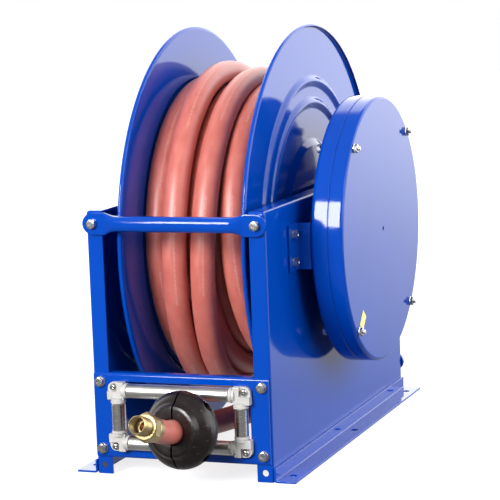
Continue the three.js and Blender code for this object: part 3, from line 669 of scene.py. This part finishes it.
# ---- frame
def make_side_panel(side, name):
    """A panel folded on its front, top and rear edges, open at the bottom and towards the drum."""
    def build(bm):
        bar(bm, mirrored(side, PANEL_X - FLANGE, PANEL_X), (FRONT_Y, -FRONT_Y), (0, PANEL_HEIGHT))
        inner_x = side * (PANEL_X - FLANGE)
        open_faces = [f for f in bm.faces
                      if f.calc_center_median().z < 1 or abs(f.calc_center_median().x - inner_x) < 1]
        bmesh.ops.delete(bm, geom=open_faces, context="FACES_ONLY")
        folds = [e for e in bm.edges if len(e.link_faces) == 2]
        bmesh.ops.bevel(bm, geom=folds, offset=BEND, segments=5, profile=0.5, affect="EDGES")

    thing = mesh_object(f"{name}_panel_sheet", build)
    web = max(thing.data.polygons, key=lambda face: face.area)
    if web.normal.x * side < 0:
        thing.data.flip_normals()
    modify(thing, "SOLIDIFY", thickness=SHEET, offset=-1, use_even_offset=True)

    def holes(bm):
        for z in (TIE_BAR_Z, *PLATE_BOLTS_Z, FLOOR_HOLE_Z):
            rod(bm, "y", HOLE, (side * BOLT_X, FRONT_Y - 4, z), 12)
        for z in (TIE_BAR_Z, REAR_BAR_Z):
            rod(bm, "y", HOLE, (side * BOLT_X, -FRONT_Y - 8, z), 12)
        rod(bm, "z", 3, (side * BOLT_X, FRONT_Y + 26, PANEL_HEIGHT - 8), 12)
        rod(bm, "x", 22, (mirrored(side, PANEL_X - 10, PANEL_X + 6)[0], 0, AXLE_Z), 16, 64)
        if side > 0:
            for z in BRACKET_BOLTS_Z:
                rod(bm, "x", HOLE, (PANEL_X - 8, BRACKET_BOLTS_Y, z), 12)

    combine(thing, holes, "DIFFERENCE")
    mesh = thing.data
    bpy.data.objects.remove(thing)
    piece(f"{name}_side_sheet", lambda bm: bm.from_mesh(mesh), PAINT, "frame", f"{name}_side_panel",
          edge=0.6, sharp=50)
    bpy.data.meshes.remove(mesh)


def make_base_angle(side, name):
    width, height = 31.4, 20
    outline = rounded([(0, 0, 4), (width, 0), (width, SHEET), (SHEET, SHEET, 1.2), (SHEET, height),
                       (0, height)])
    drawn = [(side * (PANEL_X + 0.2 + x), z) for x, z in outline]
    place = axis_place("-y", (0, -FRONT_Y, 0))

    def holes(bm):
        for y in (-282, 0, 282):
            rod(bm, "z", 5.5, (side * (PANEL_X + width * 0.53), y, -3), 10)
    piece(f"{name}_foot_angle", lambda bm: prism(bm, drawn, -2 * FRONT_Y, place), PAINT, "frame",
          f"{name}_base_angle", cut=holes, edge=0.7)


def make_tie_bar(node, z, end):
    """A tube with both ends pressed flat and rounded off round their bolts."""
    y = end * (-FRONT_Y + SHEET)
    eye, flat = 15.5, 3  # half height and half depth of the pressed ends
    stations = [(0, 11, 11, 2.5), (84, 11, 11, 2.5), (88, 11.2, 10.2, 2.5), (92, 11.8, 8.8, 2.5),
                (97, 13.2, 6.4, 2.8), (101, 14.8, 4, 4), (103.5, eye, flat, 9), (106, eye, flat, 14)]
    for step in range(13):
        angle = math.pi / 2 * step / 12.5
        stations.append((120.5 + eye * math.sin(angle), eye * math.cos(angle), flat, 14))
    both = [(-x, *section) for x, *section in reversed(stations)] + stations[1:]
    rings = []
    for x, tall, deep, power in both:
        ring = []
        for i in range(56):
            angle = 2 * math.pi * i / 56
            c, s = math.cos(angle), math.sin(angle)
            grow = (abs(c) ** power + abs(s) ** power) ** (-1 / power)
            ring.append(Vector((x, y + deep * grow * c, z + tall * grow * s)))
        rings.append(ring)
    piece(f"{node}_tube", lambda bm: loft(bm, rings), PAINT, "frame", node, sharp=42)


def make_fastener(node, axis, flats=12, stud=False, collar=0.62):
    """A flange bolt with its nut and the thread showing past it, in the place of a CAD bolt whose head faces
    along an axis. stud turns it round, so that the nut is on the outside."""
    low, high = (Vector(corner) / MM - Vector((0, AXLE_Y, 0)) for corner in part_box(node))
    along = "xyz".index(axis[-1])
    head = low if axis.startswith("-") else high
    at = (low + high) / 2
    at[along] = head[along]
    place = axis_place(axis, at)
    length = high[along] - low[along]
    half, flange, nut_height = flats / 2, flats * collar, flats * 0.5
    seat = -flats * 0.42 - 1.4

    def washer_face(bm):
        spin(bm, [(seat, 0), (seat, flange), (seat + 0.8, flange), (seat + 1.6, min(flange, half + 0.4)),
                  (seat + 1.6, 0)], place, 48)

    def hexagon(bm, low_z, high_z, dimple):
        top = [(high_z, half * 0.93), (high_z, 0)]
        if dimple:
            top = [(high_z, half * 0.9), (high_z, half * 0.5), (high_z - 0.5, half * 0.42), (high_z - 0.5, 0)]
        spin(bm, [(low_z, 0), hex_ring(low_z, half, -1), hex_ring(high_z, half, 1), *top], place, 48)

    def threaded(bm, low_z, high_z):
        radius = flats * 0.3
        profile, z = [(low_z, 0), (low_z, radius - 0.8)], low_z + 0.5
        while z < high_z - 1.2:
            profile += [(z, radius - 0.55), (z + 0.55, radius), (z + 0.7, radius)]
            z += 1.25
        spin(bm, [*profile, (high_z, radius - 0.8), (high_z, 0)], place, 28)

    def build(bm):
        washer_face(bm)
        if stud:
            hexagon(bm, seat + 1.2, seat + nut_height, False)
            threaded(bm, 2 - length, 3.2)
            hexagon(bm, 1.5 - length, 1.5 - length + nut_height, False)
        else:
            hexagon(bm, seat + 1.2, 0, True)
            threaded(bm, -length, seat + 1)
            hexagon(bm, 2 - length, 2 - length + nut_height, False)
    piece(f"{node}_set", build, ZINC, "frame", node, sharp=30)


# ---- roller guide
def make_guide_plate():
    """The plate that carries the rollers, folded back along its top and bottom."""
    top, bottom, back = 147, 24.5, PLATE_Y + 15
    outline = rounded([(PLATE_Y, bottom, BEND), (PLATE_Y, top, BEND), (back, top), (back, top - SHEET),
                       (FRONT_Y, top - SHEET, 1.5), (FRONT_Y, bottom + SHEET, 1.5), (back, bottom + SHEET),
                       (back, bottom)])
    edge_x, lip_x, window_x, tab = PANEL_X - 2, PANEL_X - FLANGE - 3, 103.5, 14
    low, high = GUIDE_Z - 50, GUIDE_Z + 49
    tab_x = window_x - tab
    right = [(tab_x, low, 2), (tab_x, low + tab, 2), (window_x, low + tab, 2), (window_x, high - tab, 2),
             (tab_x, high - tab, 2), (tab_x, high, 2)]
    window = rounded(right + [(-x, *corner) for x, *corner in reversed(right)])

    def cuts(bm):
        prism(bm, window, 12, axis_place("-y", (0, PLATE_Y + 8, 0)))
        for side, _ in SIDES:  # the folds stop short of the side panels
            for heights in ((top - 40, top + 5), (bottom - 5, bottom + 40)):
                bar(bm, mirrored(side, lip_x, edge_x + 5), (FRONT_Y + 0.01, FRONT_Y + 20), heights)

    place = axis_place("x", (-edge_x, 0, 0))
    piece("guide_plate_sheet", lambda bm: prism(bm, outline, 2 * edge_x, place), PAINT, "frame",
          "guide_plate", cut=cuts, edge=0.6)


def make_guide_block(side, level, name):
    """A moulded corner: a square body with one round corner, a collar for each roller, and a screw notch."""
    out_x, out_z, size, collar, drop = 106.5, 49.5, 25, 5, ROLLER_DROP
    in_x, in_z = out_x - size, out_z - size
    screw_x, screw_z = out_x - 9, out_z - 7
    corner = rounded([(in_x, in_z, 1), (out_x, in_z, 1), (out_x, out_z, 9), (in_x, out_z, 1)])
    flip = Matrix.Translation((0, 0, GUIDE_Z)) @ Matrix.Diagonal((side, 1, level, 1))

    def build(bm):
        plate(bm, corner, 11.4, axis_place("-y", (0, PLATE_Y - 0.3, 0)), edge=0.9)
        move(bm, flip)

    def collars(bm):
        ring = [(0, 0), (0, 9.8), (0.8, 10.6), (collar - 1.2, 10.6), (collar - 1.2, 9.4), (collar + 3, 9.4),
                (collar + 3, 0)]
        spin(bm, ring, axis_place("x", (in_x - collar, ROLLER_Y, drop)), 56)
        spin(bm, ring, axis_place("z", (ROLLER_X, ROLLER_Y, in_z - collar)), 56)
        move(bm, flip)

    def cuts(bm):
        rod(bm, "x", 4.3, (in_x - collar - 1, ROLLER_Y, drop), 12.5)
        rod(bm, "z", 4.3, (ROLLER_X, ROLLER_Y, in_z - collar - 1), 12.5)
        rod(bm, "-y", 2.8, (screw_x, PLATE_Y + 1, screw_z), 30)
        notch = rounded([(-6.2, -6.2, 2), (20, -6.2), (20, 20), (-6.2, 20)])
        prism(bm, notch, 8, axis_place("-y", (screw_x, GUIDE_Y + 4.6, screw_z)))
        bar(bm, (in_x - 2, in_x + 3.2), (GUIDE_Y - 1, GUIDE_Y + 1.2), (in_z - 2, in_z + 3.2))
        move(bm, flip)

    piece(f"{name}_nylon_corner", build, NYLON, "frame", f"{name}_guide_block", join=collars, cut=cuts,
          edge=0.35)

    def screw(bm):
        place = axis_place("-y", (side * screw_x, GUIDE_Y + 4.4, GUIDE_Z + level * screw_z))
        spin(bm, [(-15, 0), (-15, 2.3), (0, 2.3), (0, 5.1), (1.4, 5.2), (3, 4.5), (3.9, 3), (4, 2),
                  hex_ring(3.9, 1.9), hex_ring(1.6, 1.9), (1.4, 0)], place, 48)
    piece(f"{name}_nylon_screw", screw, ZINC, "frame", f"{name}_block_screw")


def make_roller(name, look, half_length, place):
    """A thin tube with rolled-in ends and a journal through it."""
    end = [(half_length + past, radius) for past, radius in (
        (10.5, 0), (10.5, 3.4), (9.9, 4), (0.2, 4), (-0.9, 5), (-0.9, 7.6), (0, 8.2), (0, 9.2), (-0.8, 10))]
    profile = [(-along, radius) for along, radius in end] + end[::-1]
    piece(f"{name}_roller_tube", turned(profile, 96, place), look, f"{name}_roller_body",
          f"{name}_roller", sharp=32)


# ---- drum
def out_from(side, origin):
    """A function that counts outwards from a distance to one side of the drum's middle."""
    return lambda x: DRUM_MIDDLE_X + side * (origin + x)


def make_disc(side, name):
    """A pressed disc: a rolled rim, two raised ribs and a dished middle."""
    out = out_from(side, DRUM_HALF_WIDTH)
    rib, dish, thick = 5, 6, 2

    def wave(centre, base):
        steps = [k / 8 for k in range(-8, 9)]
        return [(base + rib * math.cos(math.pi / 2 * t) ** 2, centre + 9.5 * t) for t in steps]

    face = [(dish, AXLE_BORE), (dish, 124, 5), (0, 133.5, 5), *wave(188, 0), *wave(220, 0),
            (0, DISC_RADIUS - 5, 3)]
    rim = [(x, DISC_RADIUS - drop) for x, drop in (
        (1, 1.6), (2.6, 0.3), (4.2, 0), (5.8, 0.5), (7, 1.8), (7.2, 3.4), (6.2, 4.2), (5, 3.6), (3.8, 3),
        (2.8, 3.6))]
    back = [(thick, DISC_RADIUS - 5.5, 2), *wave(220, thick)[::-1], *wave(188, thick)[::-1], (thick, 134, 3),
            (dish + thick, 124.5, 3), (dish + thick, AXLE_BORE)]
    outline = rounded(face + rim + back, 4)
    profile = [(out(x), radius) for x, radius in outline]
    piece(f"{name}_disc_pressing", turned(profile, 180), PAINT, "drum", f"{name}_drum_disc", sharp=45)


def ring_of_bolts(bm, count, x, side):
    """Small bolt heads in a ring round the axle, on the outside of a flange."""
    radius, flats = 33, 8
    for i in range(count):
        angle = 2 * math.pi * (i + 0.5) / count
        at = (x, radius * math.sin(angle), AXLE_Z + radius * math.cos(angle))
        place = axis_place("x" if side > 0 else "-x", at)
        half, top = flats / 2, flats * 0.42
        spin(bm, [(-0.4, 0), (-0.4, half * 1.25), (0.8, half * 1.25), (0.8, half), hex_ring(0.8, half),
                  hex_ring(top, half, 1), (top, half * 0.9), (top, 0)], place, 36)


def make_hub(side, name):
    out = out_from(side, DRUM_HALF_WIDTH + 8)
    profile = rounded([(0.3, AXLE_BORE), (0.3, 42), (4, 42, 1.2), (4, 24, 1.5), (8, 24, 1), (8, AXLE_BORE)])

    def build(bm):
        spin(bm, [(out(x), radius) for x, radius in profile], ABOUT_AXLE)
        ring_of_bolts(bm, 6, out(4), side)
    piece(f"{name}_hub_turning", build, ZINC, "drum", f"{name}_hub_flange", sharp=32)


def make_drum_parts():
    """The core between the discs, the axle, which is hollow up to its outlet, and the pipe to the hose."""
    half = DRUM_HALF_WIDTH - 0.3
    low, high = DRUM_MIDDLE_X - half, DRUM_MIDDLE_X + half
    outer, inner = 130, 127
    wall = rounded([(low, inner), (low, outer, 1), (high, outer, 1), (high, inner)])

    piece("drum_barrel", turned(wall, 144), PAINT, "drum", "drum_core",
          cut=lambda bm: rod(bm, "z", 14, (PORT_X, 0, AXLE_Z + 100), 50))

    shaft = rounded([(82, 0), (80, 12), (-170, 12), (-170, AXLE_RADIUS, 1), (199, AXLE_RADIUS, 1), (199, 0)])
    piece("axle_tube", turned(shaft, 72), ZINC, "drum", "axle",
          cut=lambda bm: rod(bm, "z", 8, (PORT_X, 0, AXLE_Z), 30), sharp=32)

    bend = arc((22, AXLE_Z + 125.5), 22, 180, 90, 8)
    riser = [(0, AXLE_Z + 16.6), (0, AXLE_Z + 118), *bend, (34, AXLE_Z + 147.5)]
    path = [Vector((PORT_X, y, z)) for y, z in riser]
    piece("hose_riser", lambda bm: tube(bm, path, 12, (1, 0, 0), 32), BRASS, "drum", "outlet_elbow")


def ratchet_outline():
    points = []
    for tooth in range(6):
        start = 150 + 60 * tooth
        for degrees, radius, *corner in ((-8, 58, 1.5), (-7, 50, 2), (0, 50), (7, 50, 2), (34, 58), (43, 58)):
            angle = math.radians(start + degrees)
            points.append((radius * math.cos(angle), radius * math.sin(angle), *corner))
    return rounded(points, 3)


def make_ratchet():
    """The ratchet wheel, and the pawl with its pin, which hold the hose where it is let go."""
    thick, wheel_x = 5, 108
    place = axis_place("x", (wheel_x, 0, AXLE_Z))
    bore = arc((0, 0), AXLE_BORE, 0, 360, 48)[:-1]
    piece("ratchet_plate", lambda bm: plate(bm, ratchet_outline(), thick, place, [bore]), ZINC, "drum",
          "ratchet_wheel", sharp=32)

    lean = 150  # degrees round the axle from the rear to the pawl's tip
    toward_tip = Vector((math.cos(math.radians(lean)), math.sin(math.radians(lean))))
    tip = toward_tip * 63.5
    pivot = tip + Vector((-toward_tip.y, toward_tip.x)) * 45
    outline = arc(pivot, 9, lean, lean + 180, 24) + arc(tip, 4, lean + 180, lean + 360, 12)
    hole = arc(pivot, 5.3, 0, 360, 32)[:-1]
    piece("pawl_lever", lambda bm: plate(bm, outline, thick, place, [hole]), ZINC, "pawl_body", "pawl",
          sharp=32)

    def pin(bm):
        at = axis_place("x", (0, pivot.x, AXLE_Z + pivot.y))
        spin(bm, [(104, 0), (104, 7.4), (104.6, 8), (107.7, 8), (107.7, 5), (113.3, 5), (113.3, 8),
                  (129.7, 8), (129.7, 4), (133.3, 4), (133.3, 7.5), hex_ring(133.4, 6.5),
                  hex_ring(139, 6.5, 1), (139, 5.8), (139, 3.8), (141, 3.6), (141, 0)], at, 48)
    piece("pawl_pivot_pin", pin, ZINC, "frame", "pawl_pin", sharp=32)


# ---- canister, bearings and inlet
def make_canister():
    """The base pan, whose wall slips inside the cover's, the cover, and a blank label on it."""
    back, seam, face, radius, wall, hub = CANISTER_BACK_X, 182, 204, 196.3, 2, 21
    inner, lap = radius - wall - 0.3, face - 14
    pan = rounded([(back, hub), (back, radius + 0.6, 6), (seam - 0.7, radius + 0.6, 0.8),
                   (seam - 0.7, radius - 0.5), (seam - 0.1, radius - 0.5), (seam - 0.1, inner), (lap, inner),
                   (lap, inner - wall), (back + wall, inner - wall, 4), (back + wall, hub)], 6)
    piece("spring_case_pan", turned(pan, 180), PAINT, "frame", "canister_base_pan", sharp=45)
    cover = rounded([(face, 3.3), (face, radius, 5), (seam, radius, 0.8), (seam, radius - wall, 0.6),
                     (face - wall, radius - wall, 3), (face - wall, 3.3)], 7)
    piece("spring_case_cover", turned(cover, 180), PAINT, "frame", "canister_cover", sharp=45)

    label = rounded([(-9, -13, 1), (9, -13, 1), (9, 13, 1), (-9, 13, 1)])
    place = axis_place("x", (face + 0.05, -113.5, 192.7)) @ Matrix.Rotation(math.radians(-43), 4, "Z")
    piece("blank_label", lambda bm: plate(bm, label, 0.4, place, edge=0.1), LABEL, "frame")


def make_bracket():
    """The folded strap that holds the canister off the side panel."""
    near, far, half_height = PANEL_X, CANISTER_BACK_X - 0.3, 33
    front, web, back = -227, -193, -165
    outline = rounded([(near + 0.2, front), (near + SHEET, front), (near + SHEET, web, 1.5), (far, web, BEND),
                       (far, back), (far - SHEET, back), (far - SHEET, web + SHEET, 1.5),
                       (near + 0.2, web + SHEET, BEND)])
    place = axis_place("z", (0, 0, AXLE_Z - half_height))

    def holes(bm):
        for z in BRACKET_BOLTS_Z:
            rod(bm, "x", HOLE, (near - 4, BRACKET_BOLTS_Y, z), 12)
    piece("canister_strap", lambda bm: prism(bm, outline, 2 * half_height, place), PAINT, "frame",
          "canister_bracket", cut=holes, edge=0.6)


def make_bearing(side, name):
    profile = rounded([(-12, AXLE_BORE), (-12, 21.5, 0.6), (0, 21.5), (0, 40, 0.5), (5, 40, 1.5), (7, 26, 2),
                       (15, 24, 1.5), (15, AXLE_BORE)])

    def build(bm):
        spin(bm, [(side * (PANEL_X + 0.1 + x), radius) for x, radius in profile], ABOUT_AXLE)
        ring_of_bolts(bm, 3, side * (PANEL_X + 5.6), side)
    piece(f"{name}_bearing_housing", build, ZINC, "frame", f"{name}_bearing", sharp=32)


def make_inlet():
    """A swivel housing on the axle's end, with an elbow that points down to a female hexagon."""
    leg_x, low = -190.6, AXLE_Z - 66
    leg_place = axis_place("z", (leg_x, 0, 0))
    housing = [(-151, 0), (-151, 23.6), (-152.4, 25), (-158, 25), (-158.4, 24.2), (-160.4, 24.2),
               (-160.8, 25), (-172, 25), (-176, 23.5), (-180, 21.5), (leg_x, 21), (leg_x, 0)]
    bend = arc((leg_x + 8, AXLE_Z - 8), 8, 90, 180, 12)
    elbow = [Vector((x, 0, z)) for x, z in ((leg_x + 12, AXLE_Z), *bend, (leg_x, low + 18))]

    def joined(bm):
        tube(bm, elbow, 20.5, (0, 1, 0), 48)
        spin(bm, [(low, 0), (low, 21), hex_ring(low + 2, 23, -1), hex_ring(low + 17, 23, 1), (low + 18, 20.6),
                  (low + 20, 20.5), (low + 20, 0)], leg_place, 72)

    def bores(bm):
        rod(bm, "x", AXLE_BORE, (-171, 0, AXLE_Z), 25, 64)
        profile = [(low - 1, 0), (low - 1, 14.2)]
        for turn in range(8):
            z = low + 1 + 2.2 * turn
            profile += [(z, 14), (z + 1.1, 13)]
        spin(bm, [*profile, (low + 20, 12), (AXLE_Z, 12), (AXLE_Z, 0)], leg_place, 64)
    piece("inlet_elbow", turned(housing, 72), BRASS, "inlet_body", "inlet_swivel",
          join=joined, cut=bores, sharp=35)


# ---- setting
def make_floor():
    """A round floor, pale under the reel and as white as the background further out."""
    rim = {"cap_ends": True, "radius": 9000, "segments": 96}
    floor = mesh_object("floor", lambda bm: bmesh.ops.create_circle(bm, **rim))
    floor.data.transform(Matrix.Scale(MM, 4))
    look = Look("pale_floor", Roughness=0.9, Specular_IOR_Level=0, Emission_Color=(1, 1, 1, 1))
    look.tint(look.noise(1.5), (0.34, 0.34, 0.35), (0.38, 0.38, 0.38))
    distance = look.node("VectorMath", {0: look.coordinates["Object"]}, operation="LENGTH")
    look.set("Emission Strength", look.between(distance.outputs["Value"], 0.78, 1.02, 0.25, 1.1))
    look.paint(floor)
    floor.visible_glossy = floor.visible_diffuse = False


LAMPS = (  # width and height in metres, power in watts, and the direction in which the lamp stands
    ("key", 0.85, 1.13, 97, (-0.254, -0.916, 0.309)),
    ("front", 0.8, 0.8, 26, (-0.05, -0.94, 0.34)),
    ("strip", 0.35, 1.5, 7, (0.998, -0.06, 0.02)),
    ("fill", 2.4, 2, 46, (0.89, -0.24, 0.39)),
)


def make_lights():
    """A large key light in front on the left, softer ones in front and on the right, and an upright strip."""
    middle, distance = Vector((0, 0, 0.32)), 3.2
    for name, width, height, energy, toward in LAMPS:
        light = bpy.data.lights.new(name, "AREA")
        light.shape = "RECTANGLE"
        light.size, light.size_y = width, height
        light.energy = energy
        lamp = add_object(name, light)
        toward = Vector(toward).normalized()
        lamp.location = middle + toward * distance
        lamp.rotation_euler = toward.to_track_quat("Z", "Y").to_euler()
        lamp.visible_glossy = name != "front"  # it would leave a second highlight beside the key's


def make_studio():
    """A room with a bright wall behind the reel and a dim ceiling, which the camera sees as plain white."""
    world = bpy.data.worlds.new("studio")
    bpy.context.scene.world = world
    world.use_nodes = True
    tree = world.node_tree
    direction = add_node(tree, "TexCoord").outputs["Generated"]
    parts = add_node(tree, "SeparateXYZ", {0: direction}).outputs
    behind = ramp(tree, parts[1], -0.05, 0.35, interpolation_type="SMOOTHSTEP")
    ceiling = ramp(tree, parts[2], 0.15, 0.6, 0.07, 0.15)
    wall = add_node(tree, "ValToRGB", {0: ramp(tree, parts[2], -1, 1)})
    stops = ((0, 0.12), (0.33, 0.15), (0.395, 0.22), (0.43, 0.45), (0.465, 0.85), (0.5, 1), (0.86, 0.95),
             (0.9, 0.12), (1, 0.1))
    for i, (position, value) in enumerate(stops):
        stop = wall.color_ramp.elements[i] if i < 2 else wall.color_ramp.elements.new(position)
        stop.position = position
        stop.color = (value, value, value, 1)
    room = add_node(tree, "Mix", {0: behind, 6: ceiling, 7: wall.outputs[0]}, data_type="RGBA")
    background = tree.nodes["Background"]
    tree.links.new(room.outputs[2], background.inputs["Color"])
    background.inputs["Strength"].default_value = 3.1

    seen = add_node(tree, "Background", {"Color": (1, 1, 1, 1)})
    to_camera = add_node(tree, "LightPath").outputs["Is Camera Ray"]
    inputs = {0: to_camera, 1: background.outputs[0], 2: seen.outputs[0]}
    choose = add_node(tree, "MixShader", inputs)
    tree.links.new(choose.outputs[0], tree.nodes["World Output"].inputs["Surface"])
    bpy.context.scene.view_settings.view_transform = "Standard"


# ---- assembly
make_camera()

make_winding()
fitting = make_fitting()
ball_halves = [make_ball_half(side, name) for side, name in SIDES]
make_run([fitting, *ball_halves, *make_ball_bolts()])

for side, name in SIDES:
    make_side_panel(side, name)
    make_base_angle(side, name)
    make_bearing(side, name)
    make_disc(side, name)
    make_hub(side, name)

for node, z, end in (("front_tie_bar", TIE_BAR_Z, -1), ("rear_upper_tie_bar", TIE_BAR_Z, 1),
                     ("rear_lower_tie_bar", REAR_BAR_Z, 1)):
    make_tie_bar(node, z, end)
    for _, name in SIDES:
        make_fastener(f"{node}_{name}_bolt", "-y" if end < 0 else "y", collar=0.55)

make_guide_plate()
for level, level_name in LEVELS:
    for side, name in SIDES:
        make_guide_block(side, level, f"{level_name}_{name}")
        make_fastener(f"{level_name}_{name}_guide_bolt", "-y")
    make_roller(level_name, LEVEL_STEEL, 76, axis_place("x", (0, ROLLER_Y, GUIDE_Z + level * ROLLER_DROP)))
for side, name in SIDES:
    make_roller(name, UPRIGHT_STEEL, 19, axis_place("z", (side * ROLLER_X, ROLLER_Y, GUIDE_Z)))

make_drum_parts()
make_ratchet()
make_canister()
make_bracket()
make_inlet()
for corner in ("front_upper", "rear_upper", "front_lower", "rear_lower"):
    make_fastener(f"canister_{corner}_bolt", "x", flats=11, stud=True)
for _, name in LEVELS:
    make_fastener(f"bracket_{name}_bolt", "x", collar=0.55)
SPRING.paint(frame["nodes"]["power_spring"])  # these two stay as they are in CAD
ZINC.paint(frame["nodes"]["spring_arbor"])

make_floor()
make_lights()
make_studio()
